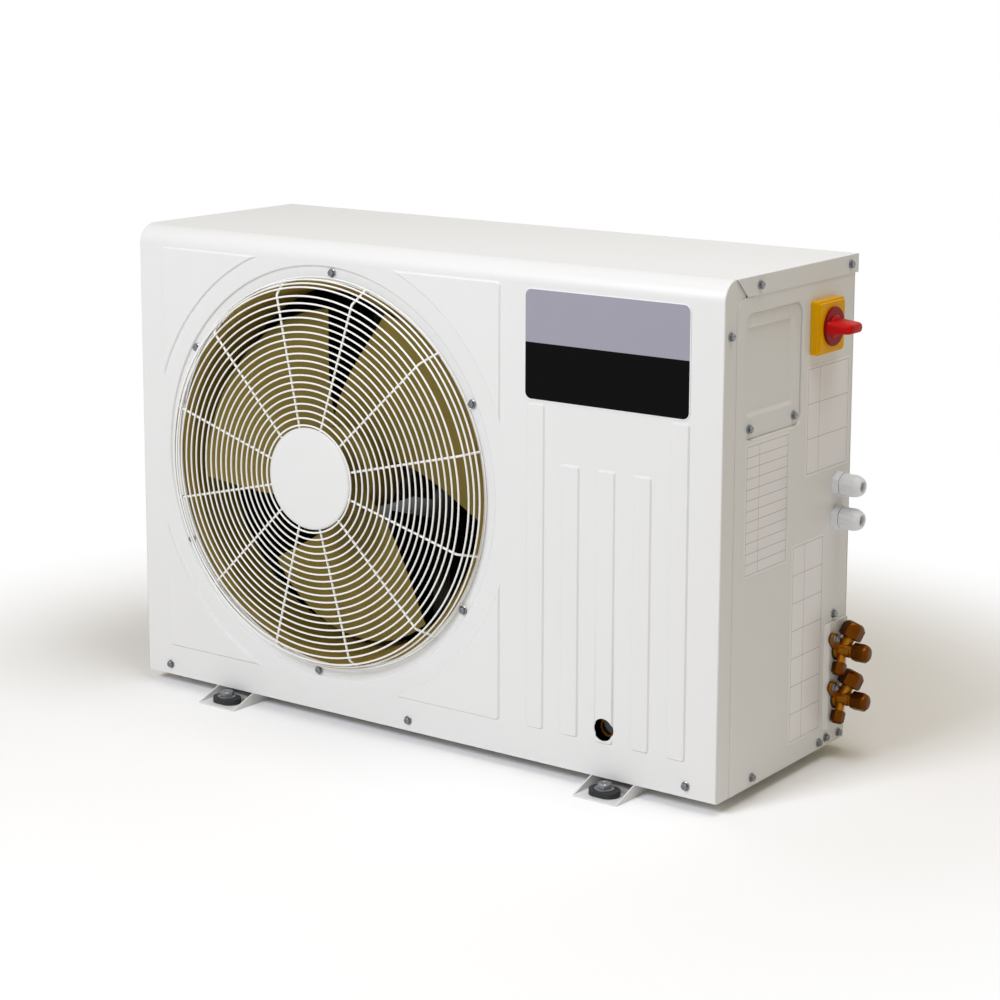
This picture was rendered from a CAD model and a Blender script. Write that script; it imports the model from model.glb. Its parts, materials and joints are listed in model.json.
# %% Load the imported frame
import json
import math
import bmesh
import bpy
from mathutils import Euler, Matrix, Vector
from mathutils.geometry import delaunay_2d_cdt


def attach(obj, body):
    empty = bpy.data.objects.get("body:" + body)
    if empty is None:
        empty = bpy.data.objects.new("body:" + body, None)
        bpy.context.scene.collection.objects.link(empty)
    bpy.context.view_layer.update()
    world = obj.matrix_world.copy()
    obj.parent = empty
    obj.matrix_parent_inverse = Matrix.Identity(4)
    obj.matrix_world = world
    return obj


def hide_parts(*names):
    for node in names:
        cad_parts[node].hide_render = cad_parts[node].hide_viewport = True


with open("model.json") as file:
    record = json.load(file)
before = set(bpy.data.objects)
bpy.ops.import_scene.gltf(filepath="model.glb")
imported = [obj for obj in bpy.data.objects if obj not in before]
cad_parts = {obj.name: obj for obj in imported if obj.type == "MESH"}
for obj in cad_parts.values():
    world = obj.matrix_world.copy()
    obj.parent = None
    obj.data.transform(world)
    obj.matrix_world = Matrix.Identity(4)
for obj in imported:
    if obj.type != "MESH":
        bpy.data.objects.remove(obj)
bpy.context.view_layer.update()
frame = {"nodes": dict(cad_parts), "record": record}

# %% [markdown]
# # A condensing unit, dressed
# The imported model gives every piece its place. Sizes below are in millimetres from the casing's lower left
# front corner, the way a sheet-metal worker would measure it. One function moves them to the shared frame.

# %% Sizes and places
MM = 0.001
CASING_CORNER = Vector((-483.0, -164.0, 16.0))
WIDTH, DEPTH, HEIGHT = 950.0, 328.0, 642.0


def place(x, y, z):
    """A point in millimetres from the casing's corner, in metres in the shared frame."""
    return (CASING_CORNER + Vector((x, y, z))) * MM


print("casing from", place(0, 0, 0), "to", place(WIDTH, DEPTH, HEIGHT))

# %% [markdown]
# ## Camera
# The photograph was taken from the front right, a little above the casing's middle, with a long lens. The
# yaw, pitch and distance come from the casing's corners in it. The small shift keeps the casing's uprights
# as upright as they are there, and is kept small because the other views share it.

# %% Camera
CAMERA_YAW, CAMERA_PITCH, CAMERA_ROLL = 35.835, 9.69, 0.153
CAMERA_PLACE = Vector((2.522, -2.5848, 1.0999)) * WIDTH
CAMERA_FOCAL_SHARE, CAMERA_SHIFT = 2.4466, -0.15
SENSOR = 36.0

camera = bpy.data.objects.new("camera", bpy.data.cameras.new("camera"))
bpy.context.scene.collection.objects.link(camera)
camera.data.sensor_width = SENSOR
camera.data.lens = CAMERA_FOCAL_SHARE * SENSOR
camera.data.shift_y = CAMERA_SHIFT
camera.data.clip_end = 50.0
camera.location = place(*CAMERA_PLACE)
turn = Euler((math.radians(90 - CAMERA_PITCH), 0, math.radians(CAMERA_YAW)), "XYZ").to_matrix()
roll = Euler((0, 0, math.radians(CAMERA_ROLL)), "XYZ").to_matrix()
camera.rotation_euler = (turn @ roll).to_euler()
bpy.context.scene.camera = camera
print("camera at", camera.location, "lens", round(camera.data.lens, 2))

# %% [markdown]
# ## Making materials
# Every finish is built from nodes on the object's own coordinates, which are metres, so that a pattern keeps
# its real size. One helper adds a node, sets its values and links its inputs. Colours are written as the hex
# values a painter would note, and one function turns them into the linear light that the shader works in.

# %% Material helpers
def linear(hex_colour):
    """An sRGB hex colour as linear RGBA."""
    parts = [int(hex_colour[i:i + 2], 16) / 255 for i in (0, 2, 4)]
    return [p / 12.92 if p <= 0.04045 else ((p + 0.055) / 1.055) ** 2.4 for p in parts] + [1.0]


def socket_of(sockets, key):
    """A socket by number, by identifier or by name, in that order."""
    if isinstance(key, int):
        return sockets[key]
    for socket in sockets:
        if socket.identifier == key:
            return socket
    return sockets[key]


def add(tree, kind, values=None, links=None, **settings):
    """Adds a node, sets its attributes and input values, and links its inputs."""
    made = tree.nodes.new(kind)
    for key, value in settings.items():
        setattr(made, key, value)
    for key, value in (values or {}).items():
        socket_of(made.inputs, key).default_value = value
    for key, output in (links or {}).items():
        tree.links.new(output, socket_of(made.inputs, key))
    return made


def blend(tree, factor, first, second):
    """Mixes two colours, each one a value or an output, and returns the result's socket."""
    mixed = add(tree, "ShaderNodeMix", None, {"Factor_Float": factor}, data_type="RGBA")
    for key, value in (("A_Color", first), ("B_Color", second)):
        if isinstance(value, bpy.types.NodeSocket):
            tree.links.new(value, socket_of(mixed.inputs, key))
        else:
            socket_of(mixed.inputs, key).default_value = value
    return socket_of(mixed.outputs, "Result_Color")


def finish_material(name, colour, roughness, metallic=0.0, mottle=0.06, mottle_mm=40.0,
                    grain_mm=0.8, grain_depth_mm=0.02, stretch=(1, 1, 1), wear=0.0, **uniform):
    """A finish: a slow change of tone over mottle_mm, and a fine relief of grain_mm."""
    material = bpy.data.materials.new(name)
    material.use_nodes = True
    tree = material.node_tree
    shader = tree.nodes["Principled BSDF"]
    shader.inputs["Metallic"].default_value = metallic
    for key, value in uniform.items():
        shader.inputs[key.replace("_", " ")].default_value = value
    space = add(tree, "ShaderNodeTexCoord")
    turned = add(tree, "ShaderNodeMapping", {"Scale": stretch}, {"Vector": space.outputs["Object"]})
    slow = add(tree, "ShaderNodeTexNoise", {"Scale": 1000.0 / mottle_mm, "Detail": 3.0},
               {"Vector": turned.outputs["Vector"]})
    base = linear(colour)
    dark = [c * (1 - mottle - wear) for c in base[:3]] + [1.0]
    light = [min(1.0, c * (1 + mottle)) for c in base[:3]] + [1.0]
    tone = blend(tree, slow.outputs["Fac"], dark, light)
    tree.links.new(tone, shader.inputs["Base Color"])
    rough = add(tree, "ShaderNodeMapRange", {"To Min": roughness * 0.9, "To Max": min(1.0, roughness * 1.15)},
                {"Value": slow.outputs["Fac"]})
    tree.links.new(rough.outputs["Result"], shader.inputs["Roughness"])
    fine = add(tree, "ShaderNodeTexNoise", {"Scale": 1000.0 / grain_mm, "Detail": 2.0},
               {"Vector": turned.outputs["Vector"]})
    relief = add(tree, "ShaderNodeBump", {"Strength": 0.6, "Distance": grain_depth_mm * MM},
                 {"Height": fine.outputs["Fac"]})
    tree.links.new(relief.outputs["Normal"], shader.inputs["Normal"])
    return material


print("mid grey in linear light", round(linear("808080")[0], 3))

# %% [markdown]
# ## Finishes
# The casing is steel sheet under a polyester powder coat: a soft sheen over a faint orange-peel relief. The
# wire guard is dipped in plastic, which rounds and shines a little. Fan and shroud are moulded polypropylene,
# left matt by a spark-eroded mould. Zinc is bright with blotches of tone, brass is brown where it was forged
# and turned, and copper and aluminium are bare too, so colour and roughness tell the metals apart. Rubber is
# dull black. Nameplate and films are polyester with an even satin sheen, the isolator is moulded ABS in full
# colour with little shine, and the vessels' enamel is dark and smooth. Grains under a millimetre are drawn
# coarser than the real ones, so that they show.

# %% Finishes
finishes = {
    "casing_paint": finish_material("powder_coated_steel", "D9D9D8", 0.42, mottle=0.015, mottle_mm=180,
                                    grain_mm=1.6, grain_depth_mm=0.012),
    "guard_paint": finish_material("plastic_dipped_wire", "E9E8E4", 0.35, mottle=0.02),
    "fan_plastic": finish_material("moulded_polypropylene", "7C6C32", 0.5, mottle=0.05, mottle_mm=60,
                                   grain_mm=0.6, grain_depth_mm=0.02, Specular_IOR_Level=0.15),
    "shroud_plastic": finish_material("moulded_polypropylene_pale", "76642A", 0.5, mottle=0.04, mottle_mm=80,
                                      grain_mm=0.6, grain_depth_mm=0.02, Specular_IOR_Level=0.15),
    "zinc": finish_material("zinc_plated_steel", "808284", 0.28, metallic=1.0, mottle=0.25, mottle_mm=5,
                            grain_mm=0.7, grain_depth_mm=0.01),
    "black_rubber": finish_material("epdm_rubber", "1B1B1C", 0.7, mottle=0.1, mottle_mm=12,
                                    grain_mm=0.9, grain_depth_mm=0.03),
    "motor_paint": finish_material("motor_enamel", "2A2B2C", 0.45, mottle=0.08),
    "fin_aluminium": finish_material("rolled_aluminium_fin", "5E6164", 0.5, metallic=1.0, mottle=0.08,
                                     mottle_mm=25, stretch=(1, 1, 0.1)),
    "copper": finish_material("drawn_copper", "B87350", 0.32, metallic=1.0, mottle=0.12, mottle_mm=30),
    "vessel_paint": finish_material("compressor_enamel", "17181A", 0.35, mottle=0.08, grain_mm=1.2),
    "drier_paint": finish_material("drier_enamel", "24523C", 0.4, mottle=0.05),
    "black_plastic": finish_material("black_polyamide", "1E1F21", 0.5, mottle=0.06),
    "plate_plastic": finish_material("printed_polyester_plate", "908F9B", 0.38, mottle=0.02, grain_mm=0.5),
    "label_film": finish_material("satin_polyester_film", "E2E0E2", 0.4, mottle=0.015, grain_mm=0.6),
    "brass_body": finish_material("forged_brass", "9E661A", 0.4, metallic=1.0, mottle=0.24, mottle_mm=7,
                                  grain_mm=0.7, grain_depth_mm=0.03),
    "brass_cap": finish_material("turned_brass", "5E3208", 0.34, metallic=1.0, mottle=0.22, mottle_mm=8,
                                 grain_mm=0.5, grain_depth_mm=0.015),
    "sight_glass": finish_material("sight_glass", "101412", 0.05, mottle=0.01, Transmission_Weight=0.5,
                                   IOR=1.5),
    "terminal_plastic": finish_material("cream_polyamide", "D5D0BE", 0.5, mottle=0.03),
    "isolator_yellow": finish_material("yellow_abs", "E4AA00", 0.4, mottle=0.02, grain_mm=0.5,
                                       Specular_IOR_Level=0.1),
    "isolator_red": finish_material("red_abs", "BC0604", 0.42, mottle=0.03, grain_mm=0.5,
                                    Specular_IOR_Level=0.12),
    "gland_plastic": finish_material("pale_grey_nylon", "E4E8F0", 0.45, mottle=0.03),
}
slot_of = {row["node"]: row["material_slot"] for row in frame["record"]["subparts"]}
for name, thing in frame["nodes"].items():
    thing.data.materials.clear()
    thing.data.materials.append(finishes[slot_of[name]])
print(len(finishes), "finishes on", len(frame["nodes"]), "nodes")

# %% [markdown]
# ## Making a piece
# A piece is drawn as points and faces in casing millimetres. It is welded, its faces are turned outwards and
# shaded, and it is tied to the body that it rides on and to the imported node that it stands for.

# %% Pieces
def joined(parts):
    """Several (points, faces) pairs as one."""
    points, faces = [], []
    for more, loops in parts:
        start = len(points)
        points += more
        faces += [[start + i for i in loop] for loop in loops]
    return points, faces


def dress(name, mesh, slot, body="unit", stands_for=(), sharp=32, flats=False, finish=None):
    """Welds a mesh, turns its faces outward, shades it and ties it to a body."""
    work = bmesh.new()
    work.from_mesh(mesh)
    bmesh.ops.remove_doubles(work, verts=work.verts, dist=0.01 * MM)
    bmesh.ops.dissolve_degenerate(work, dist=0.002 * MM, edges=work.edges)
    bmesh.ops.recalc_face_normals(work, faces=work.faces)
    work.to_mesh(mesh)
    work.free()
    mesh.shade_smooth()
    mesh.set_sharp_from_angle(angle=math.radians(sharp))
    if flats:
        for face in mesh.polygons:
            face.use_smooth = max(abs(c) for c in face.normal) < 0.99999
    if not mesh.materials:
        mesh.materials.append(finish or finishes[slot])
    made = bpy.data.objects.new(name, mesh)
    bpy.context.scene.collection.objects.link(made)
    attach(made, body)
    if stands_for:
        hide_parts(*stands_for)
    return made


def shape(name, parts, slot, **how):
    """A piece from (points, faces) lists in casing millimetres."""
    points, faces = joined(parts)
    mesh = bpy.data.meshes.new(name)
    mesh.from_pydata([place(*p) for p in points], [], faces)
    return dress(name, mesh, slot, **how)


# %% [markdown]
# ## Outlines
# A pressed face is drawn as closed outlines on a plane and filled with triangles. Where the surface steps
# down or turns a corner, rows of equally many points are joined by quads instead, like rungs on a ladder.

# %% Outlines
def arc(centre, radius, start, end, steps):
    """Points on an arc in a plane, angles in degrees."""
    turn = [math.radians(start + (end - start) * i / steps) for i in range(steps + 1)]
    return [(centre[0] + radius * math.cos(t), centre[1] + radius * math.sin(t)) for t in turn]


def round_outline(low, high, radius, steps=6):
    """A rectangle with round corners, as a closed loop."""
    radius = max(radius, 0.05)
    corners = ((high[0] - radius, low[1] + radius, -90), (high[0] - radius, high[1] - radius, 0),
               (low[0] + radius, high[1] - radius, 90), (low[0] + radius, low[1] + radius, 180))
    return [p for u, v, a in corners for p in arc((u, v), radius, a, a + 90, steps)]


def inset_outline(low, high, radius, inset, steps=6):
    """The same rectangle drawn in by a distance, or out where that is negative."""
    return round_outline((low[0] + inset, low[1] + inset), (high[0] - inset, high[1] - inset),
                         radius - inset, steps)


def circle(centre, radius, steps):
    """A circle as a closed loop."""
    return arc(centre, radius, 0, 360, steps)[:-1]


def skin(outlines, keep, lift):
    """Fills outlines with triangles, keeps those that keep() accepts, and lifts each point to 3-D."""
    points, edges = [], []
    for outline in outlines:
        start, count = len(points), len(outline)
        points += [Vector(p) for p in outline]
        edges += [(start + i, start + (i + 1) % count) for i in range(count)]
    filled = delaunay_2d_cdt(points, edges, [], 0, 1e-5)
    spots = filled[0]
    chosen = [f for f in filled[2] if keep(*(sum((spots[i] for i in f), Vector((0, 0))) / len(f)))]
    return [lift(u, v) for u, v in spots], chosen


def everywhere(u, v):
    """Keeps all of a filled outline."""
    return True


def ladder(rows, closed=True):
    """Quads between rows of equally many points."""
    count = len(rows[0])
    last = count if closed else count - 1
    faces = [(r * count + i, r * count + (i + 1) % count, (r + 1) * count + (i + 1) % count,
              (r + 1) * count + i)
             for r in range(len(rows) - 1) for i in range(last)]
    return [p for row in rows for p in row], faces


print("points round a rectangle", len(round_outline((0, 0), (10, 10), 2)))

# %% [markdown]
# ## Sheet metal
# A sheet is first a surface. It is turned away from the casing's middle and then gets its thickness inwards,
# so the outside stays where it was drawn.

# %% Sheets
CASING_MIDDLE = (WIDTH / 2, DEPTH / 2, HEIGHT / 2)


def outward(made, inside):
    """Turns an open sheet's faces away from a point inside the casing."""
    mesh = made.data
    middle = place(*inside)
    votes = sum((face.center - middle).dot(face.normal) * face.area for face in mesh.polygons)
    if votes < 0:
        mesh.flip_normals()
    return made


def thicken(made, millimetres):
    """Gives an open sheet its thickness, on the inside."""
    wall = made.modifiers.new("wall", "SOLIDIFY")
    wall.thickness, wall.offset = millimetres * MM, -1.0
    return made


print("casing's middle", CASING_MIDDLE)

# %% [markdown]
# ## Turned pieces
# Caps, nuts and discs come off a lathe or out of a round mould, so each is a profile of radius and distance,
# swept about its limb's axis. A limb is given by its start and by how far it is tilted and turned.

# %% Turning
TO_FRONT, TO_BACK, TO_RIGHT = (90, -90), (90, 90), (90, 0)


def axes(origin, tilt=0.0, turn=0.0, spin=0.0):
    """An origin and the two cross directions and axis of a limb, tilted from +Z and turned about it."""
    frame_turn = Matrix.Rotation(math.radians(turn), 3, "Z") @ Matrix.Rotation(math.radians(tilt), 3, "Y")
    frame_turn = frame_turn @ Matrix.Rotation(math.radians(spin), 3, "Z")
    return [Vector(origin)] + [frame_turn @ Vector(way) for way in ((1, 0, 0), (0, 1, 0), (0, 0, 1))]


def turned(where, profile, steps=72, reach=None):
    """Sweeps (radius, along) about a limb's axis; reach(angle) can hold the radius back, as flats do."""
    origin, across, over, along = where
    rows = []
    for radius, far in profile:
        row = []
        for i in range(steps):
            t = 2 * math.pi * i / steps
            r = min(radius, reach(t)) if reach else radius
            row.append(tuple(origin + across * (r * math.cos(t)) + over * (r * math.sin(t)) + along * far))
        rows.append(row)
    return ladder(rows)


print("a limb to the right runs along", axes((0, 0, 0), *TO_RIGHT)[3])

# %% [markdown]
# ## Front panel
# One pressed sheet: a flat face, a wide bend over the top, returns on both sides, a round recess for the
# guard, four corner pads and five upright ribs. A press can't leave a sharp step, so each pad and rib rises
# over a ramp, drawn as nested outlines whose height is a smooth function of the distance to the edge.

# %% Front panel sizes
# The sheet, its folds and the turned-in edges behind it
SHEET = 1.2
FACE_LEFT, FACE_RIGHT = 1.3, 948.7
FOLD_R, FOLD_STEPS = 2.0, 5
BEND_R, BEND_STEPS = 26.0, 16
LIP_PROFILE = ((26, 642), (26, 640.7), (40, 640.7))
RETURN_PROFILE = ((47.5, 640), (47.5, 582), (40, 582), (40, 0))
# The fan's recess and opening, and the sight hole
FAN_X, FAN_Z = 334.0, 329.0
RECESS_R, RECESS_ROLL, RECESS_DEPTH = 281.0, 1.5, 3.0
OPENING_R, RECESS_STEPS = 262.0, 192
SIGHT, SIGHT_R = (784.1, 63.0), 14.5
# The pressed pads and ribs
EMBOSS, RAMP, RAMP_STEPS = 2.4, 2.6, 5
PAD_HALF, PAD_CORNER, PAD_GAP = (290.0, 286.0), 6.0, 26.0
RIB_X0, RIB_PITCH, RIB_WIDTH = 664.5, 52.8, 28.0
RIB_FOOT, RIB_CORNER = 44.0, 5.0
RIB_TOPS = (467.0, 394.5, 394.5, 394.5, 467.0)
face_top = HEIGHT - BEND_R
left_in, right_in = FACE_LEFT + FOLD_R, FACE_RIGHT - FOLD_R
ribs = [((RIB_X0 + RIB_PITCH * i, RIB_FOOT), (RIB_X0 + RIB_PITCH * i + RIB_WIDTH, top))
        for i, top in enumerate(RIB_TOPS)]
print("flat face", round(right_in - left_in, 1), "by", face_top, "with", len(ribs), "ribs")

# %% Pressed relief
def edge_depth(u, v, low, high, radius):
    """How deep a point lies inside a round-cornered rectangle."""
    du = max(abs(u - (low[0] + high[0]) / 2) - (high[0] - low[0]) / 2 + radius, 0)
    dv = max(abs(v - (low[1] + high[1]) / 2) - (high[1] - low[1]) / 2 + radius, 0)
    inner = min(max(abs(u - (low[0] + high[0]) / 2) - (high[0] - low[0]) / 2 + radius,
                    abs(v - (low[1] + high[1]) / 2) - (high[1] - low[1]) / 2 + radius), 0)
    return radius - math.hypot(du, dv) - inner


def press(depth):
    """The share of the full height that a point at this depth from the edge has risen."""
    share = min(max(depth / RAMP, 0), 1)
    return share * share * (3 - 2 * share)


def front_height(u, v):
    """How far the face stands at a point, with less than zero in front of its plane."""
    depth = max(edge_depth(u, v, low, high, RIB_CORNER) for low, high in ribs)
    pad_low = (FAN_X - PAD_HALF[0], FAN_Z - PAD_HALF[1])
    pad_high = (FAN_X + PAD_HALF[0], FAN_Z + PAD_HALF[1])
    pad = min(edge_depth(u, v, pad_low, pad_high, PAD_CORNER),
              math.hypot(u - FAN_X, v - FAN_Z) - RECESS_R - PAD_GAP)
    return -EMBOSS * press(max(depth, pad))


print("relief in a rib's middle", front_height(RIB_X0 + RIB_WIDTH / 2, FAN_Z))

# %% Outlines on the face
def pad_outline(inset, sx, sz):
    """One corner pad: two straight sides with a round corner, closed by an arc round the fan."""
    a, b, r = PAD_HALF[0] - inset, PAD_HALF[1] - inset, RECESS_R + PAD_GAP + inset
    corner = PAD_CORNER - inset
    low_angle = math.degrees(math.asin(math.sqrt(r * r - a * a) / r))
    high_angle = math.degrees(math.acos(math.sqrt(r * r - b * b) / r))
    loop = arc((0, 0), r, high_angle, low_angle, 24)
    loop += arc((a - corner, b - corner), corner, 0, 90, 6)
    return [(FAN_X + sx * u, FAN_Z + sz * v) for u, v in loop]


insets = [RAMP * i / RAMP_STEPS for i in range(RAMP_STEPS + 1)]
outlines = [[(left_in, 0), (right_in, 0), (right_in, face_top), (left_in, face_top)]]
outlines += [inset_outline(low, high, RIB_CORNER, inset) for low, high in ribs for inset in insets]
outlines += [pad_outline(inset, sx, sz) for inset in insets for sx in (-1, 1) for sz in (-1, 1)]
outlines += [circle((FAN_X, FAN_Z), RECESS_R + RECESS_ROLL, RECESS_STEPS), circle(SIGHT, SIGHT_R, 48)]


def on_face(u, v):
    """True on the flat face, outside the recess and the sight hole."""
    clear = math.hypot(u - FAN_X, v - FAN_Z) > RECESS_R + RECESS_ROLL - 0.1
    clear = clear and math.hypot(u - SIGHT[0], v - SIGHT[1]) > SIGHT_R
    return clear and left_in <= u <= right_in and 0 <= v <= face_top


print("outlines on the face", len(outlines))

# %% Front sheet
face = skin(outlines, on_face, lambda u, v: (u, front_height(u, v), v))
folds = [(0, 0, -1, 0), (0, face_top, -1, 0)]
for y, z in arc((BEND_R, face_top), BEND_R, 180, 90, BEND_STEPS)[1:]:
    folds.append((y, z, (y - BEND_R) / BEND_R, (z - face_top) / BEND_R))
bend = ladder([[(x, y, z) for y, z, _, _ in folds[1:]] for x in (left_in, right_in)], closed=False)
lip = ladder([[(x, y, z) for x in (left_in, right_in)] for y, z in LIP_PROFILE], closed=False)
edges, sides = [], []
for x, way in ((left_in, -1), (right_in, 1)):
    columns = []
    for theta in [math.radians(90 * i / FOLD_STEPS) for i in range(FOLD_STEPS + 1)]:
        back = FOLD_R * (1 - math.cos(theta))
        columns.append([(x + way * FOLD_R * math.sin(theta), y - ny * back, z - nz * back)
                        for y, z, ny, nz in folds])
    edges.append(ladder(columns, closed=False))
    rim = columns[-1] + [(x + way * FOLD_R, y, z) for y, z in RETURN_PROFILE]
    sides.append((rim, [list(range(len(rim)))]))
recess_profile = [(RECESS_R + RECESS_ROLL, 0), (RECESS_R + 0.7, 0.25), (RECESS_R + 0.1, 0.9),
                  (RECESS_R - 0.4, 1.8), (RECESS_R - 0.9, 2.5), (RECESS_R - 1.6, 2.9),
                  (RECESS_R - 2.6, RECESS_DEPTH), (OPENING_R + 1, RECESS_DEPTH), (OPENING_R, RECESS_DEPTH)]
recess = turned(axes((FAN_X, 0, FAN_Z), *TO_BACK), recess_profile, RECESS_STEPS)
front = shape("front_sheet", [face, bend, lip, recess] + edges + sides, "casing_paint",
              stands_for=("front_panel",), flats=True)
thicken(outward(front, CASING_MIDDLE), SHEET)
print("front sheet", len(front.data.polygons))

# %% [markdown]
# ## Right side panel
# The side panel is a second pressed sheet, with a rolled edge that catches the light and a deep round-edged
# well for the service cover. It is drawn as rows of outlines that step down in depth, because that is what
# the press does.

# %% Side panel sizes
# Where the panel ends at the back and at the top, and the corner that is cut back at its front
SIDE_BACK, INNER_TOP = 320.0, 639.1
STRIP_Y, FLANGE_Z, CORNER_R = 28.0, 618.0, 20.0
# The rolled edges of the panel, the well and its floor, and the room round the cover's pan
SIDE_ROLL, WELL_ROLL, FLOOR_ROLL, PAN_ROOM = 1.3, 2.6, 1.2, 0.6
WELL_DEPTH = 5.0
# The well and the cover's pan: lower front corner, upper back corner and corner radius
SERVICE = ((49.0, 442.0), (189.0, 596.0), 14.0)
PAN = ((57.0, 469.0), (172.0, 583.0), 6.0)
# Rows of inset and depth: the panel's rolled edge, and the well's wall down to its floor
side_rows = [(SIDE_ROLL, 0), (0.75, 0.12), (0.3, 0.5), (0.05, 1.0), (0, 1.28)]
well_rows = [(-WELL_ROLL, 0), (-1.6, 0.25), (-0.7, 0.9), (-0.15, 1.9), (0, 3.0), (0, 4.6),
             (FLOOR_ROLL, WELL_DEPTH)]
print("well", SERVICE[1][0] - SERVICE[0][0], "by", SERVICE[1][1] - SERVICE[0][1], "deep", WELL_DEPTH)

# %% Side panel outlines
def side_outline(inset):
    """The panel's edge, with its cut-back and rounded upper front corner."""
    y1 = STRIP_Y + 2 * CORNER_R
    loop = [(STRIP_Y + inset, inset), (SIDE_BACK - inset, inset), (SIDE_BACK - inset, INNER_TOP - inset),
            (y1 + inset, INNER_TOP - inset), (y1 + inset, FLANGE_Z - inset)]
    return loop + arc((STRIP_Y + CORNER_R, FLANGE_Z - CORNER_R), CORNER_R - inset, 90, 180, 12)


def steps_down(outline, rows, x_of):
    """Rows of one outline at (inset, depth) pairs."""
    return ladder([[(x_of - depth, y, z) for y, z in outline(inset)] for inset, depth in rows])


def service_outline(inset):
    return inset_outline(*SERVICE, inset, 8)


def outside(u, v, hole, margin=0.0):
    """True outside a round-cornered rectangle that is widened by a margin."""
    (u0, v0), (u1, v1), radius = hole
    return edge_depth(u, v, (u0 - margin, v0 - margin), (u1 + margin, v1 + margin), radius + margin) < 0.01


def side_holds(y, z):
    """True inside the panel's outline, with its cut-back upper front corner."""
    if z > FLANGE_Z - SIDE_ROLL:
        return y > STRIP_Y + 2 * CORNER_R + SIDE_ROLL
    away = math.hypot(min(y - STRIP_Y - CORNER_R, 0), max(z - FLANGE_Z + CORNER_R, 0))
    return away < CORNER_R - SIDE_ROLL or z < FLANGE_Z - CORNER_R


print("points round the well", len(service_outline(0)))

# %% Side sheet
side_face = skin([side_outline(SIDE_ROLL), service_outline(-WELL_ROLL)],
                 lambda y, z: outside(y, z, SERVICE, WELL_ROLL) and side_holds(y, z),
                 lambda y, z: (WIDTH, y, z))
well_floor = skin([service_outline(FLOOR_ROLL), inset_outline(*PAN, -PAN_ROOM)],
                  lambda y, z: outside(y, z, PAN, PAN_ROOM),
                  lambda y, z: (WIDTH - WELL_DEPTH, y, z))
side = shape("side_sheet", [side_face, steps_down(side_outline, side_rows, WIDTH), well_floor,
                            steps_down(service_outline, well_rows, WIDTH)],
             "casing_paint", stands_for=("right_side_panel",), flats=True)
thicken(outward(side, CASING_MIDDLE), SHEET - 0.02)
print("side sheet", len(side.data.polygons))

# %% [markdown]
# ## Service cover
# The cover lies in the well with an even gap round it, and its middle is pressed into a pan. It rides on a
# body of its own, because it comes off.

# %% Service cover
COVER_X, COVER_GAP, COVER_SHEET = 946.5, 0.6, 0.9
COVER_ROLL, PAN_RAMP, PAN_DEPTH = 0.7, 5.6, 4
BEHIND_COVER = (475, 120, 520)
# Rows of inset and depth: the cover's edge, and the pan's wall
cover_rows = [(COVER_ROLL, 0), (0.2, 0.15), (0, 0.6), (0, 1.1)]
pan_rows = [(0, 0), (0.7, 0.15), (1.8, 0.9), (3.4, 2.7), (4.6, 3.8), (PAN_RAMP, PAN_DEPTH)]


def cover_outline(inset):
    """The cover's edge, with its clearance in the well."""
    return inset_outline(*SERVICE, inset + COVER_GAP, 8)


def pan_outline(inset):
    return inset_outline(*PAN, inset, 8)


cover_face = skin([cover_outline(COVER_ROLL), pan_outline(0)], lambda y, z: outside(y, z, PAN),
                  lambda y, z: (COVER_X, y, z))
pan_floor = skin([pan_outline(PAN_RAMP)], everywhere, lambda y, z: (COVER_X - PAN_DEPTH, y, z))
cover = shape("service_cover_sheet",
              [cover_face, pan_floor, steps_down(cover_outline, cover_rows, COVER_X),
               steps_down(pan_outline, pan_rows, COVER_X)],
              "casing_paint", body="access_cover", stands_for=("service_cover",), flats=True)
thicken(outward(cover, BEHIND_COVER), COVER_SHEET)
print("cover", len(cover.data.polygons))

# %% [markdown]
# ## Softened edges
# The plainer sheets, castings and mouldings keep the shape that they were packed with. Each gets a merged
# copy with rounded edges, because no folded sheet or moulding has an edge as sharp as a drawing's.

# %% Softened copies
def soften(node, width, slot=None, body="unit", angle=40):
    """A merged copy of a CAD node with its edges rounded, in its place."""
    mesh = frame["nodes"][node].data.copy()
    mesh.materials.clear()
    work = bmesh.new()
    work.from_mesh(mesh)
    bmesh.ops.remove_doubles(work, verts=work.verts, dist=0.005 * MM)
    bmesh.ops.dissolve_limit(work, angle_limit=math.radians(0.5), verts=work.verts, edges=work.edges)
    work.to_mesh(mesh)
    work.free()
    made = dress("soft_" + node, mesh, slot or slot_of[node], body, (node,))
    edge = made.modifiers.new("edges", "BEVEL")
    edge.width, edge.segments, edge.angle_limit = width * MM, 3, math.radians(angle)
    edge.use_clamp_overlap, edge.harden_normals = True, True
    return made


# The width of each node's rounding
SOFT_EDGES = {"top_cover": 1.1, "left_side_panel": 0.5, "rear_panel": 0.4, "valve_bracket": 1.0,
              "foot_rails": 0.8, "foot_grommets": 1.2, "isolator_plate": 1.0, "gland_bodies": 0.5,
              "suction_valve": 0.5, "liquid_valve": 0.5, "fan_nut": 0.6}
for node, width in SOFT_EDGES.items():
    soften(node, width, body="fan_rotor" if node == "fan_nut" else "unit")
print("softened", len(SOFT_EDGES), "nodes")

# %% [markdown]
# ## Growing with Geometry Nodes
# Rings, spokes, fins and screws repeat or follow a path, so a tree grows them. Its sizes are named inputs,
# each set by its socket's identifier. The result is kept as a plain mesh, because the export drops instances.

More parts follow.
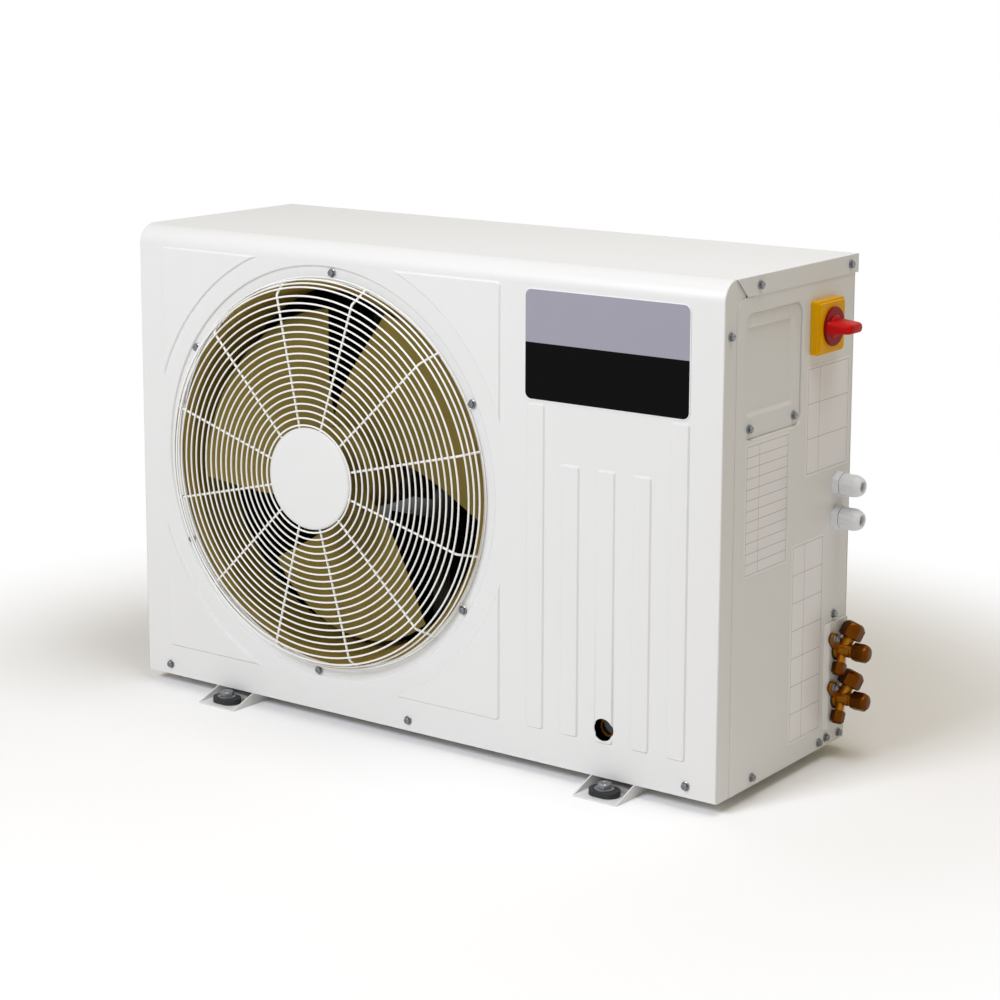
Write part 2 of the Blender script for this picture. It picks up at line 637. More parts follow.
# %% Growing
def grow(name, base, build, values):
    """Runs a Geometry Nodes tree on a base mesh and returns the plain mesh it grows."""
    tree = bpy.data.node_groups.new(name, "GeometryNodeTree")
    tree.interface.new_socket("Geometry", in_out="INPUT", socket_type="NodeSocketGeometry")
    tree.interface.new_socket("Geometry", in_out="OUTPUT", socket_type="NodeSocketGeometry")
    kinds = {int: "NodeSocketInt", float: "NodeSocketFloat"}
    keys = {}
    for key, value in values.items():
        other = "NodeSocketObject" if isinstance(value, bpy.types.Object) else "NodeSocketMaterial"
        kind = kinds.get(type(value), other)
        keys[key] = tree.interface.new_socket(key, in_out="INPUT", socket_type=kind).identifier
    source, result = tree.nodes.new("NodeGroupInput"), tree.nodes.new("NodeGroupOutput")
    tree.links.new(build(tree, source.outputs), result.inputs[0])
    host = bpy.data.objects.new(name + "_host", base)
    bpy.context.scene.collection.objects.link(host)
    grown = host.modifiers.new(name, "NODES")
    grown.node_group = tree
    for key, value in values.items():
        grown[keys[key]] = value
    host.update_tag()
    bpy.context.view_layer.update()
    mesh = bpy.data.meshes.new_from_object(host.evaluated_get(bpy.context.evaluated_depsgraph_get()))
    host.modifiers.remove(grown)
    bpy.data.objects.remove(host)
    print(name, len(mesh.polygons), "faces")
    return mesh


def base_mesh(name, points, edges=()):
    """Points, and edges between them, for a tree to grow on."""
    mesh = bpy.data.meshes.new(name)
    mesh.from_pydata([place(*p) for p in points], list(edges), [])
    return mesh

# %% [markdown]
# ## Wire guard
# The guard is made of bent wire: rings from small to large, welded in front of twelve spokes, and all dipped
# in plastic. One tree grows the rings, from their number and the first and last radius, and another turns
# the spokes' bent paths into wire.

# %% Guard sizes
# The dished face, the kink at its edge and the rim behind it, as radii and depths
DISC_R, KINK, RIM = 69.0, 248.0, 266.0
KINK_DEPTH, DISH, RIM_BACK = 27.0, 7.0, 1.65
# The rings
GUARD_STEPS, RING_WIRE = 144, 1.25
FACE_RINGS, FIRST_RING, LAST_RING = 19, 72.5, 244.0
WALL_RINGS = 3
# The spokes
SPOKES, SPOKE_TURN, SPOKE_WIRE = 12, 14, 1.6
HUB, SPOKE_BACK, SPOKE_BEND = 55.0, 2.95, 6.0
# The screw tabs, and the depth and scale of their rows
TABS, TAB_R, TAB_LENGTH = 6, 5.6, 8.0
SCREW_RING, PHASE = 273.7, 27
TAB_ROWS = ((2.9, 1), (2.0, 1), (1.7, 0.95))
print("rings", FACE_RINGS + WALL_RINGS + 1, "spokes", SPOKES)

# %% Trees for wire
def ring_tree(tree, given):
    """Circles spread evenly from the first radius and depth to the last, made into wire."""
    number = add(tree, "GeometryNodeInputIndex")
    last = add(tree, "ShaderNodeMath", {1: 1.0}, {0: given["count"]}, operation="SUBTRACT")
    share = add(tree, "ShaderNodeMath", None, {0: number.outputs[0], 1: last.outputs[0]}, operation="DIVIDE")
    radius = add(tree, "ShaderNodeMapRange", None, clamp=False, links={
        "Value": share.outputs[0], "To Min": given["first radius"], "To Max": given["last radius"]})
    depth = add(tree, "ShaderNodeMapRange", None, clamp=False, links={
        "Value": share.outputs[0], "To Min": given["first depth"], "To Max": given["last depth"]})
    spot = add(tree, "ShaderNodeCombineXYZ", None, {"Z": depth.outputs["Result"]})
    size = add(tree, "ShaderNodeCombineXYZ", {"Z": 1.0},
               {"X": radius.outputs["Result"], "Y": radius.outputs["Result"]})
    spots = add(tree, "GeometryNodePoints", None, {"Count": given["count"], "Position": spot.outputs[0]})
    ring = add(tree, "GeometryNodeCurvePrimitiveCircle", {"Resolution": GUARD_STEPS, "Radius": 1.0})
    rings = add(tree, "GeometryNodeInstanceOnPoints", None,
                {"Points": spots.outputs[0], "Instance": ring.outputs[0], "Scale": size.outputs[0]})
    real = add(tree, "GeometryNodeRealizeInstances", None, {0: rings.outputs[0]})
    return wire_from(tree, real.outputs[0], given)


def wire_from(tree, curve, given):
    """A round wire along a curve."""
    section = add(tree, "GeometryNodeCurvePrimitiveCircle", {"Resolution": 8}, {"Radius": given["wire"]})
    wire = add(tree, "GeometryNodeCurveToMesh", {"Fill Caps": True},
               {"Curve": curve, "Profile Curve": section.outputs[0]})
    return add(tree, "GeometryNodeSetMaterial", None,
               {"Geometry": wire.outputs[0], "Material": given["finish"]}).outputs[0]


def wire_tree(tree, given):
    """Wire along a mesh's edges, with its corners bent round."""
    curve = add(tree, "GeometryNodeMeshToCurve", None, {0: given["Geometry"]})
    bent = add(tree, "GeometryNodeFilletCurve", {"Count": 5},
               {"Curve": curve.outputs[0], "Radius": given["bend"]})
    bent.mode = "POLY"
    return wire_from(tree, bent.outputs[0], given)


print("wire", 2 * RING_WIRE, "in the rings and", 2 * SPOKE_WIRE, "in the spokes")

# %% Rings
def to_fan(mesh):
    """Stands a mesh grown round the Z axis in front of the fan."""
    mesh.transform(Matrix.Translation(place(FAN_X, 0, FAN_Z)) @ Matrix.Rotation(math.radians(90), 4, "X"))
    return mesh


def guard_depth(radius):
    """How far the guard's face stands in front of the casing at a radius."""
    return KINK_DEPTH + DISH * (KINK - radius) / (KINK - DISC_R)


def rings(name, count, first, last, first_depth, last_depth):
    """Rings of wire between two radii and depths, in front of the fan."""
    values = {"count": count, "first radius": first * MM, "last radius": last * MM,
              "first depth": first_depth * MM, "last depth": last_depth * MM,
              "wire": RING_WIRE * MM, "finish": finishes["guard_paint"]}
    empty = bpy.data.meshes.new(name + "_base")
    return to_fan(grow(name, empty, ring_tree, values))


wall = Vector((RIM - KINK, (guard_depth(KINK) - SPOKE_BACK) - (SPOKE_BACK - RIM_BACK)))
face_rings = rings("face_ring_wires", FACE_RINGS, FIRST_RING, LAST_RING, guard_depth(FIRST_RING),
                   guard_depth(LAST_RING))
dress("face_rings", face_rings, "guard_paint", stands_for=("guard_rings",))
out_x, out_y = wall.normalized().y * SPOKE_BACK, wall.normalized().x * SPOKE_BACK
spoke_kink, spoke_rim = (KINK, guard_depth(KINK) - SPOKE_BACK), (RIM, SPOKE_BACK - RIM_BACK)
first_wall = [spoke_kink[i] + (spoke_rim[i] - spoke_kink[i]) / 4 for i in (0, 1)]
last_wall = [spoke_kink[i] + (spoke_rim[i] - spoke_kink[i]) * 3 / 4 for i in (0, 1)]
dress("wall_rings", rings("wall_ring_wires", WALL_RINGS, first_wall[0] + out_x, last_wall[0] + out_x,
                          first_wall[1] + out_y, last_wall[1] + out_y), "guard_paint")
dress("rim_ring", rings("rim_ring_wire", 1, RIM, RIM, -RIM_BACK, -RIM_BACK), "guard_paint")

# %% Spokes
spoke_points, spoke_edges = [], []
for i in range(SPOKES):
    t = math.radians(SPOKE_TURN + 360 // SPOKES * i)
    start = len(spoke_points)
    for radius, depth in ((HUB, guard_depth(DISC_R) - SPOKE_BACK), spoke_kink, spoke_rim):
        spoke_points.append((FAN_X + radius * math.cos(t), -depth, FAN_Z + radius * math.sin(t)))
    spoke_edges += [(start, start + 1), (start + 1, start + 2)]
spokes = grow("spoke_wires", base_mesh("spoke_paths", spoke_points, spoke_edges), wire_tree,
              {"wire": SPOKE_WIRE * MM, "bend": SPOKE_BEND * MM, "finish": finishes["guard_paint"]})
dress("spokes", spokes, "guard_paint", stands_for=("guard_spokes",))

# %% Screw tabs and hub disc
tabs = []
for i in range(TABS):
    t = math.radians(PHASE + 360 // TABS * i)
    out, cross = Vector((math.cos(t), 0, math.sin(t))), Vector((-math.sin(t), 0, math.cos(t)))
    loop = [(-TAB_LENGTH, -TAB_R)] + arc((0, 0), TAB_R, -90, 90, 10) + [(-TAB_LENGTH, TAB_R)]
    rows = [[tuple(Vector((FAN_X, y, FAN_Z)) + out * (SCREW_RING + u * s) + cross * (v * s)) for u, v in loop]
            for y, s in TAB_ROWS]
    points, faces = ladder(rows)
    count = len(loop)
    tabs.append((points, faces + [list(range(count))[::-1], list(range(2 * count, 3 * count))]))
shape("guard_tabs", tabs, "guard_paint")
disc_profile = [(0, 34.9), (20, 34.85), (45, 34.6), (58, 34.2), (64, 33.8), (67.2, 33.2), (68.6, 32.2),
                (69, 31.6), (68.6, 31.4), (67, 31.6), (60, 32.4), (40, 32.9), (0, 33.1)]
shape("hub_disc", [turned(axes((FAN_X, 0, FAN_Z), *TO_FRONT), disc_profile, 96)], "guard_paint",
      stands_for=("guard_disc",), finish=finishes["casing_paint"])
print("tabs", len(tabs), "and a disc of radius", DISC_R)

# %% [markdown]
# ## Fan
# Three wide blades are moulded with the hub in one piece. The blade is a formula in how far out a point lies
# and how far round the chord, like the mould's surface, and thins towards every edge. The hub is turned, with
# a rounded front edge and a dished face.

# %% Fan
# Radii, and how much shorter the trailing edge is
HUB_R, ROOT_R, TIP_R, TIP_CUT = 62.0, 60.0, 240.0, 22.0
# Degrees round the hub
LEADING_EDGE, SWEEP, CURL, CHORD = 95, 43, 17, 84
# Depth of the leading edge, and how far the blade climbs and bows behind it
BLADE_FRONT, BLADE_RISE, BLADE_BOW = 24, 54, 6
# Half the thickness, its shares at the edges and lost at the tip, and how soon it is full behind an edge
BLADE_HALF_T, EDGE_SHARE, TIP_SHARE, EDGE_RATE = 1.5, 0.3, 0.35, 6
BLADES = 3


def blade(turn, across=26, around=18):
    """One blade as two skins and a rim. Sweep, curl and chord are in degrees round the hub."""
    points, faces = [], []
    for side in (1, -1):
        for i in range(across + 1):
            for j in range(around + 1):
                u, v = i / across, j / around
                full = min(1, EDGE_RATE * min(v, 1 - v)) ** 0.5 * (1 - TIP_SHARE * u)
                thin = EDGE_SHARE + (1 - EDGE_SHARE) * full
                a = math.radians(LEADING_EDGE - SWEEP * u + CURL * u * u - CHORD * v + turn)
                r = ROOT_R + u * (TIP_R - TIP_CUT * v * v - ROOT_R)
                y = BLADE_FRONT + BLADE_RISE * v + BLADE_BOW * math.sin(math.pi * v)
                y += side * BLADE_HALF_T * thin
                points.append((FAN_X + r * math.cos(a), y, FAN_Z + r * math.sin(a)))
    row, layer = around + 1, (across + 1) * (around + 1)
    for i in range(across):
        for j in range(around):
            p = i * row + j
            corners = (p, p + 1, p + row + 1, p + row)
            faces += [corners, tuple(layer + k for k in (p, p + row, p + row + 1, p + 1))]
    rim = [i * row for i in range(across)] + [across * row + j for j in range(around)]
    rim += [i * row + around for i in range(across, 0, -1)] + [j for j in range(around, 0, -1)]
    for here, after in zip(rim, rim[1:] + rim[:1]):
        faces.append((here, after, layer + after, layer + here))
    return points, faces


hub_profile = [(6.4, 28), (6.4, 22.4), (14, 22), (40, 22), (50, 22.1), (56, 23), (59.6, 25.2), (61.6, 28.6),
               (HUB_R, 33), (HUB_R, 89), (61.4, 90), (58.6, 90), (58, 89), (58, 32), (55, 28), (14, 28),
               (14, 84), (6.4, 84), (6.4, 28)]
fan_hub = turned(axes((FAN_X, 0, FAN_Z), *TO_BACK), hub_profile, 96)
fan_parts = [blade(360 // BLADES * i) for i in range(BLADES)] + [fan_hub]
fan = shape("moulded_fan", fan_parts, "fan_plastic", body="fan_rotor", stands_for=("fan",), sharp=50)
print("fan", len(fan.data.polygons))

# %% [markdown]
# ## Coil
# A condenser coil is a stack of thin aluminium fins on copper tubes. The tree lays fins at their pitch along
# the bent path of the pack, each square to the path, so the bend opens them like pages.

# %% Coil fins
# The fins' pitch and size, the height they start at, and the length and swing of their waves
FIN_PITCH, FIN_T, FIN_W, FIN_H = 3.2, 0.25, 37.6, 590.0
FIN_Z = 6.0
FIN_WAVE, FIN_SWING = 19.0, 1.3


def fin_tree(tree, given):
    """Wavy fins at their pitch along the pack's path."""
    curve = add(tree, "GeometryNodeMeshToCurve", None, {0: given["Geometry"]})
    upright = add(tree, "GeometryNodeSetCurveNormal", None, {"Curve": curve.outputs[0]})
    upright.mode = "Z_UP"
    spots = add(tree, "GeometryNodeCurveToPoints", None,
                {"Curve": upright.outputs[0], "Length": given["pitch"]})
    spots.mode = "LENGTH"
    size = add(tree, "ShaderNodeCombineXYZ", None,
               {"X": given["width"], "Y": given["height"], "Z": given["thickness"]})
    flat = add(tree, "GeometryNodeMeshCube", {"Vertices X": 9}, {"Size": size.outputs[0]})
    across = add(tree, "ShaderNodeSeparateXYZ", None, {0: add(tree, "GeometryNodeInputPosition").outputs[0]})
    phase = add(tree, "ShaderNodeMath", {1: 2 * math.pi / (FIN_WAVE * MM)}, {0: across.outputs["X"]},
                operation="MULTIPLY")
    wave = add(tree, "ShaderNodeMath", None, {0: phase.outputs[0]}, operation="SINE")
    swing = add(tree, "ShaderNodeMath", {1: FIN_SWING * MM}, {0: wave.outputs[0]}, operation="MULTIPLY")
    shift = add(tree, "ShaderNodeCombineXYZ", None, {"Z": swing.outputs[0]})
    fin = add(tree, "GeometryNodeSetPosition", None,
              {"Geometry": flat.outputs[0], "Offset": shift.outputs[0]})
    fins = add(tree, "GeometryNodeInstanceOnPoints", None,
               {"Points": spots.outputs["Points"], "Instance": fin.outputs[0],
                "Rotation": spots.outputs["Rotation"]})
    real = add(tree, "GeometryNodeRealizeInstances", None, {0: fins.outputs[0]})
    return add(tree, "GeometryNodeSetMaterial", None,
               {"Geometry": real.outputs[0], "Material": given["finish"]}).outputs[0]


# The pack's two ends and its bend, along its middle and seen from above
COIL_FRONT, COIL_RIGHT = (41.0, 75.8), (620.2, 292.0)
BEND_CENTRE, BEND_MID = (110.0, 223.0), 69.0
path = [COIL_FRONT] + arc(BEND_CENTRE, BEND_MID, 180, 90, 16) + [COIL_RIGHT]
path_mesh = base_mesh("coil_path", [(x, y, FIN_Z + FIN_H / 2) for x, y in path],
                      [(i, i + 1) for i in range(len(path) - 1)])
fins = grow("fin_pack", path_mesh, fin_tree,
            {"pitch": FIN_PITCH * MM, "width": FIN_W * MM, "height": FIN_H * MM,
             "thickness": FIN_T * MM, "finish": finishes["fin_aluminium"]})
dress("fins", fins, "fin_aluminium", stands_for=("coil_fins",))

# %% [markdown]
# ## Nameplate and films
# The nameplate is a printed polyester plate in two tones, with a thin pale border. The films on the side have
# a fine border line and the ruled rows of an empty data table.

# %% Nameplate
PLATE_LOW, PLATE_HIGH, PLATE_SPLIT = (661.0, 470.0), (903.0, 611.0), 543.0
PLATE_R, PLATE_T, PLATE_EDGE = 10.0, 1.0, 1.3
black_print = finish_material("black_gloss_print", "050506", 0.45, mottle=0.02, grain_mm=0.5,
                              Specular_IOR_Level=0.05)


def plate_outline(inset):
    return inset_outline(PLATE_LOW, PLATE_HIGH, PLATE_R, inset, 10)


def plate_part(inset, keep):
    """The printed field on one side of the split."""
    split = [(PLATE_LOW[0] + inset, PLATE_SPLIT), (PLATE_HIGH[0] - inset, PLATE_SPLIT)]
    return skin([plate_outline(inset), split], keep, lambda u, v: (u, -PLATE_T, v))


plate_rows = [(0, 0), (0, -0.7), (0.25, -0.93), (0.6, -PLATE_T), (PLATE_EDGE, -PLATE_T)]
plate_edge = ladder([[(x, y, z) for x, z in plate_outline(inset)] for inset, y in plate_rows])
shape("plate_border", [plate_edge], "label_film", stands_for=("nameplate",), sharp=60)
upper = plate_part(PLATE_EDGE, lambda u, v: v > PLATE_SPLIT)
lower = plate_part(PLATE_EDGE, lambda u, v: v < PLATE_SPLIT)
shape("plate_upper", [upper], "plate_plastic")
shape("plate_lower", [lower], "plate_plastic", finish=black_print)
print("plate", PLATE_HIGH[0] - PLATE_LOW[0], "by", PLATE_HIGH[1] - PLATE_LOW[1])

# %% Films
# Each film's lower front and upper back corner, and its number of rows
FILMS = (((51, 270), (159, 438), 12), ((200, 370), (314, 512), 3), ((171, 27), (256, 289), 7))
FILM_X, FILM_INSET = 950.3, 0.2
FILM_ROWS = ((0, 950.0), (0, 950.2), (FILM_INSET, FILM_X))
LINE_W, LINE_X = 0.45, FILM_X + 0.02
LINE_MARGIN, LINE_COLUMN = 4, 30
line_print = finish_material("grey_print", "6C6A68", 0.5, mottle=0.02)


def film_outline(low, high, inset):
    return inset_outline(low, high, 2.0, inset, 4)


def line(y0, z0, y1, z1):
    """One printed line, as a flat strip just in front of its film."""
    return [(LINE_X, y0, z0), (LINE_X, y1, z0), (LINE_X, y1, z1), (LINE_X, y0, z1)], [(0, 1, 2, 3)]


film_parts, line_parts = [], []
for low, high, rows in FILMS:
    film_parts.append(ladder([[(x, y, z) for y, z in film_outline(low, high, inset)]
                              for inset, x in FILM_ROWS]))
    film_parts.append(skin([film_outline(low, high, FILM_INSET)], everywhere, lambda y, z: (FILM_X, y, z)))
    y0, y1 = low[0] + LINE_MARGIN, high[0] - LINE_MARGIN
    z0, z1 = low[1] + LINE_MARGIN, high[1] - LINE_MARGIN
    for i in range(rows + 1):
        z = z0 + (z1 - z0) * i / rows
        line_parts.append(line(y0, z, y1, z + LINE_W))
    for y in (y0, y0 + LINE_COLUMN, y1 - LINE_W):
        line_parts.append(line(y, z0, y + LINE_W, z1))
shape("films", film_parts, "label_film", stands_for=("side_labels",), sharp=60)
shape("film_rules", line_parts, "label_film", finish=line_print)
print("films", len(FILMS), "with", len(line_parts), "lines")

# %% [markdown]
# ## Screws and foot bolts
# Zinc-plated hexagon screws with a flange, a chamfered head and a small dimple. One screw is turned once,
# and a tree stands a copy on each point, facing the way that the point's attribute says.

# %% One screw
def flats_of(across_flats):
    """How far a hexagon reaches at an angle, with a corner at angle zero."""
    return lambda t: across_flats / 2 / math.cos(t % (math.pi / 3) - math.pi / 6)


def hex_screw(name, washer_r, washer_h, af, head, dimple):
    """A screw's flange and head, af across its flats, standing on the origin along +Z."""
    profile = [(washer_r, 0), (washer_r, washer_h * 0.5), (washer_r * 0.86, washer_h),
               (af * 0.6, washer_h * 1.05), (af * 0.6, head - af * 0.07), (af * 0.46, head),
               (dimple, head), (dimple * 0.8, head - 0.7), (0, head - 1.0)]
    reach = flats_of(af)
    rows = []
    for k, (radius, up) in enumerate(profile):
        row = []
        for i in range(24):
            t = 2 * math.pi * i / 24
            r = min(radius, reach(t)) if 3 <= k <= 5 else radius
            row.append((r * math.cos(t) * MM, r * math.sin(t) * MM, up * MM))
        rows.append(row)
    points, faces = ladder(rows)
    mesh = bpy.data.meshes.new(name)
    mesh.from_pydata(points, [], faces)
    return bpy.data.objects.new(name, mesh)


small = hex_screw("small_screw", 6.0, 1.2, 8.0, 4.8, 1.6)
bolt = hex_screw("foot_bolt", 13.0, 2.0, 17.0, 8.0, 3.6)
print("one screw has", len(small.data.polygons), "faces")

# %% Copies of a screw
def screw_tree(tree, given):
    """A copy of a screw on each point, turned to face the point's way."""
    facing = add(tree, "GeometryNodeInputNamedAttribute", {"Name": "facing"}, data_type="FLOAT_VECTOR")
    aim = add(tree, "FunctionNodeAlignRotationToVector", None, {"Vector": facing.outputs["Attribute"]},
              axis="Z")
    spots = add(tree, "GeometryNodeMeshToPoints", None, {0: given["Geometry"]})
    copy = add(tree, "GeometryNodeObjectInfo", None, {"Object": given["screw"]})
    screws = add(tree, "GeometryNodeInstanceOnPoints", None,
                 {"Points": spots.outputs[0], "Instance": copy.outputs["Geometry"],
                  "Rotation": aim.outputs[0]})
    real = add(tree, "GeometryNodeRealizeInstances", None, {0: screws.outputs[0]})
    return add(tree, "GeometryNodeSetMaterial", None,
               {"Geometry": real.outputs[0], "Material": given["finish"]}).outputs[0]


def screws(name, screw, places, body="unit", stands_for=()):
    """A copy of a screw at each place, as (point, way it faces)."""
    mesh = base_mesh(name + "_points", [p for p, _ in places])
    facing = mesh.attributes.new("facing", "FLOAT_VECTOR", "POINT")
    for i, (_, way) in enumerate(places):
        facing.data[i].vector = way
    grown = grow(name + "_copies", mesh, screw_tree, {"screw": screw, "finish": finishes["zinc"]})
    return dress(name, grown, "zinc", body, stands_for)


front_way, right_way, left_way, up_way = (0, -1, 0), (1, 0, 0), (-1, 0, 0), (0, 0, 1)
print("a copy has", len(small.data.vertices), "points")

# %% Screws in their seats
# On the front face, and on the guard's tabs
FRONT_SCREWS, FRONT_SCREW_Z, TAB_SEAT = (45.5, 474.0, 904.5), 14.5, 1.7
# On both sides: through the front panel's edge, the side panels' lower corners and the top cover's flanges
CORNER_SCREW, LOW_SCREW = (14, 574.5), (81.5, 12)
FLANGE_SCREWS, FLANGE_OUT = ((77, 630), (307, 630)), 1.3
# On the right side: along the edges, on the valves' flanges and on the service cover
PANEL_SCREWS = ((286, 176), (254, 10), (273, 12), (307, 10))
VALVE_SCREWS, VALVE_SEAT = ((275, 80), (275, 145)), 960.2
COVER_SCREWS, COVER_SCREW_Z = (64.5, 173.5), 455
# In the feet
FOOT_BOLTS, FOOT_SEAT = ((168, 798), (-18, 346)), -6.0
seats = [((x, 0, FRONT_SCREW_Z), front_way) for x in FRONT_SCREWS]
seats += [((FACE_RIGHT, *CORNER_SCREW), right_way), ((FACE_LEFT, *CORNER_SCREW), left_way)]
seats += [((WIDTH + FLANGE_OUT, *spot), right_way) for spot in FLANGE_SCREWS]
seats += [((-FLANGE_OUT, *spot), left_way) for spot in FLANGE_SCREWS]
seats += [((WIDTH, *LOW_SCREW), right_way), ((0, *LOW_SCREW), left_way)]
seats += [((x, TAB_SEAT, z), front_way)
          for x, z in arc((FAN_X, FAN_Z), SCREW_RING, PHASE, PHASE + 360, TABS)[:-1]]
seats += [((WIDTH, *spot), right_way) for spot in PANEL_SCREWS]
seats += [((VALVE_SEAT, *spot), right_way) for spot in VALVE_SCREWS]
screws("casing_fixings", small, seats, stands_for=("casing_screws",))
screws("service_fixings", small, [((COVER_X, y, COVER_SCREW_Z), right_way) for y in COVER_SCREWS],
       "access_cover", ("service_cover_screws",))
screws("foot_bolts", bolt, [((x, y, FOOT_SEAT), up_way) for x in FOOT_BOLTS[0] for y in FOOT_BOLTS[1]])
print("screws", len(seats) + len(COVER_SCREWS))
for spare in (small, bolt):
    bpy.data.objects.remove(spare)

# %% [markdown]
# ## Valve caps, gland nuts and the isolator's grip
# The brass caps are hexagon bar, turned to a dome at the end, so a profile is held back by the flats. The
# gland nuts are moulded with fine ribs for fingers. The grip is a bar that narrows to a round tip, drawn as
# sections. Each limb's row says where it starts, its tilt, turn and spin, the cap's width across flats, where
# the cap starts and ends along the limb, and its bore.

# %% Valve caps
VALVE_X, VALVE_Y, LIMB_X = 954.1, 291.0, 9.0
VALVE_HEIGHTS = {"liquid": 63.0, "suction": 128.0}
CAP_LIMBS = {"stem": ((LIMB_X, 0, 0), 30, 59, 27.5, 27.0, 17.0, 39.0, 8.3),
             "flare": ((0, 0, 0), 90, 0, 0, 22.0, 25.0, 47.0, 7.8),
             "port": ((LIMB_X, 0, 0), 156, -90, 0, 16.0, 17.0, 34.0, 5.8)}


def cap_parts(z, limb):
    """A cap with its bore, its flats and a domed end."""
    offset, tilt, turn, spin, af, start, end, bore = CAP_LIMBS[limb]
    where = axes((VALVE_X + offset[0], VALVE_Y, z), tilt, turn, spin)
    corner, half = af / math.sqrt(3), af / 2
    profile = [(bore, end - 9), (bore, start + 0.6), (bore + 0.6, start), (half * 0.96, start),
               (half, start + 0.35), (corner, start + 1.6), (corner, end - af * 0.32),
               (corner * 0.985, end - af * 0.22), (half * 0.93, end - af * 0.1),
               (half * 0.8, end - af * 0.035), (half * 0.62, end), (0, end)]
    return turned(where, profile, 72, flats_of(af))


for valve, z in VALVE_HEIGHTS.items():
    for limb in CAP_LIMBS:
        node = f"{valve}_{limb}_cap"
        shape(node + "_turned", [cap_parts(z, limb)], "brass_cap", body=node + "_body", stands_for=(node,),
              sharp=28)
print("caps", len(VALVE_HEIGHTS) * len(CAP_LIMBS))

# %% Gland nuts
GLAND_Y, GLAND_HEIGHTS = 287, {"lower_gland_nut": 304.0, "upper_gland_nut": 348.0}
NUT_R, RIB_DEPTH, FINGER_RIBS = 14.5, 0.55, 12


def ribbed(t):
    """The gland nut's reach at an angle, with its finger ribs."""
    return NUT_R - RIB_DEPTH * max(0.0, math.cos(FINGER_RIBS * t)) ** 2


gland_profile = [(12.7, 11.2), (12.9, 10.3), (14.1, 10), (NUT_R, 10.8), (NUT_R, 27), (14.1, 29.2),
                 (13.3, 31.6), (12.2, 34), (10.8, 36.2), (9.4, 37.6), (8.6, 38), (7.9, 37.8),
                 (7.4, 37), (7.3, 34), (7.3, 27.6), (12.7, 27.4), (12.7, 11.2)]
for node, z in GLAND_HEIGHTS.items():
    shape(node + "_moulded", [turned(axes((WIDTH, GLAND_Y, z), *TO_RIGHT), gland_profile, 144, ribbed)],
          "gland_plastic", body=node + "_body", stands_for=(node,), sharp=40)
print("gland nuts", len(GLAND_HEIGHTS))

# %% Isolator
ISOLATOR = (0, 240, 560)
# Sections of the grip: how far right it lies, its half width and its half height
GRIP = ((967.0, 23.0, 8.5), (969.0, 22.4, 8.1), (973.0, 21.2, 7.6), (981.0, 19.6, 7.2), (989.0, 18.2, 6.8),
        (994.0, 16.8, 6.3), (996.6, 14.8, 5.2), (997.4, 12.0, 3.6))
GRIP_CORNER = 5.5
grip_rows = []
for x, half_y, half_z in GRIP:
    section = round_outline((-half_y, -half_z), (half_y, half_z), min(half_z, GRIP_CORNER) * 0.98)
    grip_rows.append([(x, ISOLATOR[1] + y, ISOLATOR[2] + z) for y, z in section])
points, faces = ladder(grip_rows)
count = len(grip_rows[0])
grip = (points, faces + [list(range(len(points) - count, len(points)))])
shaft_profile = [(0, 950.3), (5, 950.3), (5, 963.5), (12, 963.5), (12, 967.2), (15, 967.2), (13, 969.6),
                 (0, 970)]
shape("isolator_grip", [grip, turned(axes(ISOLATOR, *TO_RIGHT), shaft_profile, 72)], "isolator_red",
      body="isolator_knob", stands_for=("isolator_handle",), sharp=35)
dark_red = finish_material("dark_red_abs", "8A0604", 0.4, mottle=0.04, grain_mm=0.5, Specular_IOR_Level=0.12)
collar_profile = [(0, 963.6), (24.6, 963.6), (25, 964.2), (25, 966.2), (24.2, 967), (21, 967.2),
                  (16, 966.9), (0, 966.8)]
shape("isolator_disc", [turned(axes(ISOLATOR, *TO_RIGHT), collar_profile, 72)], "isolator_red",
      body="isolator_knob", finish=dark_red)

# %% [markdown]
# ## Studio
# A pale floor, a soft cool lamp in front of the fan side, a weak one above the right side, and a warm world
# that fills the shaded side. World and far floor look white to the camera, in reflections and through glass,
# by the kind of ray that meets them, while they light the object at a lower level. The floor keeps its
# shadow.

# %% Floor, world and lamps
FLOOR_HALF, FADE_FROM, FADE_TO = 40.0, 0.58, 1.15


def seen_as_background(tree):
    """1 for the rays that show the background: to the camera, in a reflection and through glass."""
    path = add(tree, "ShaderNodeLightPath")
    mirrored = add(tree, "ShaderNodeMath", None, {0: path.outputs["Is Glossy Ray"],
                                                  1: path.outputs["Is Transmission Ray"]},
                   operation="MAXIMUM")
    seen = add(tree, "ShaderNodeMath", None, {0: path.outputs["Is Camera Ray"], 1: mirrored.outputs[0]},
               operation="MAXIMUM")
    return seen.outputs[0]


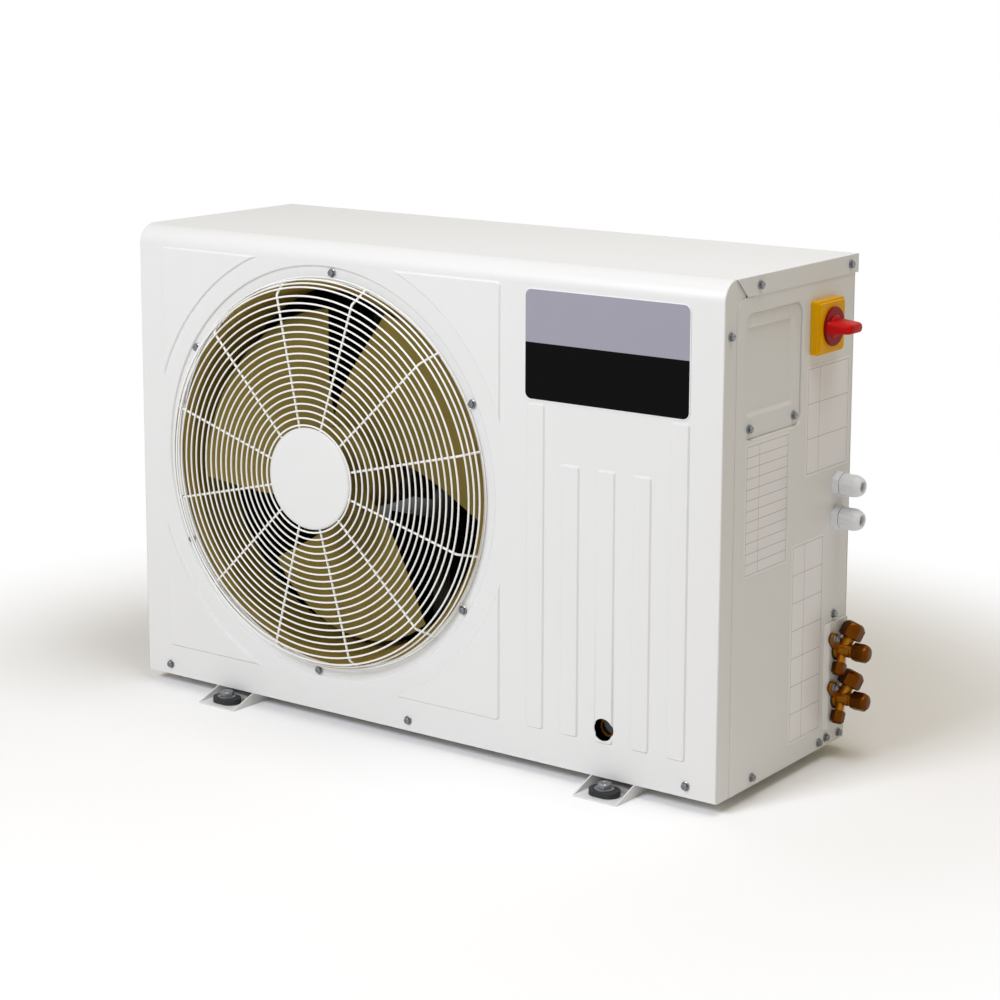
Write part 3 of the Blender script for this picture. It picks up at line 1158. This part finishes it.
floor_mesh = bpy.data.meshes.new("floor")
floor_mesh.from_pydata([(-FLOOR_HALF, -FLOOR_HALF, 0), (FLOOR_HALF, -FLOOR_HALF, 0),
                        (FLOOR_HALF, FLOOR_HALF, 0), (-FLOOR_HALF, FLOOR_HALF, 0)], [], [(0, 1, 2, 3)])
floor = bpy.data.objects.new("floor", floor_mesh)
bpy.context.scene.collection.objects.link(floor)
floor_paint = bpy.data.materials.new("pale_floor")
floor_paint.use_nodes = True
paint_tree = floor_paint.node_tree
paint_tree.nodes["Principled BSDF"].inputs["Base Color"].default_value = linear("F7F7F7")
paint_tree.nodes["Principled BSDF"].inputs["Roughness"].default_value = 0.95
floor_space = add(paint_tree, "ShaderNodeTexCoord")
away = add(paint_tree, "ShaderNodeVectorMath", None, {0: floor_space.outputs["Object"]}, operation="LENGTH")
fade = add(paint_tree, "ShaderNodeMapRange", {"From Min": FADE_FROM, "From Max": FADE_TO},
           {"Value": away.outputs["Value"]}, interpolation_type="SMOOTHSTEP")
fade = add(paint_tree, "ShaderNodeMath", None, {0: fade.outputs[0], 1: seen_as_background(paint_tree)},
           operation="MULTIPLY")
white = add(paint_tree, "ShaderNodeEmission", {"Color": (1.0, 1.0, 1.0, 1.0), "Strength": 1.0})
mixed = add(paint_tree, "ShaderNodeMixShader", None,
            {0: fade.outputs[0], 1: paint_tree.nodes["Principled BSDF"].outputs[0],
             2: white.outputs[0]})
paint_tree.links.new(mixed.outputs[0], paint_tree.nodes["Material Output"].inputs["Surface"])
floor_mesh.materials.append(floor_paint)

WORLD_LEVEL = 0.34
world = bpy.data.worlds.new("studio")
bpy.context.scene.world = world
world.use_nodes = True
sky = world.node_tree
seen = seen_as_background(sky)
level = add(sky, "ShaderNodeMapRange", {"To Min": WORLD_LEVEL, "To Max": 1.0}, {"Value": seen})
tint = blend(sky, seen, linear("FFEDC4"), (1.0, 1.0, 1.0, 1.0))
sky.links.new(level.outputs["Result"], sky.nodes["Background"].inputs["Strength"])
sky.links.new(tint, sky.nodes["Background"].inputs["Color"])


def lamp(name, at, target, size, watts, tint):
    """A square soft lamp at a place, turned to a target, both in metres."""
    made = bpy.data.objects.new(name, bpy.data.lights.new(name, "AREA"))
    bpy.context.scene.collection.objects.link(made)
    made.data.size, made.data.energy, made.data.color = size, watts, linear(tint)[:3]
    made.location = at
    made.rotation_euler = (Vector(target) - Vector(at)).to_track_quat("-Z", "Y").to_euler()
    return made


lamp("key_lamp", (-0.5, -3.3, 2.6), (0, 0, 0.3), 1.2, 108, "ECF2FF")
lamp("top_lamp", (0.9, -0.2, 2.8), (0.2, 0, 0.3), 1.4, 31, "F6F8FF")
bpy.context.scene.view_settings.view_transform = "Standard"
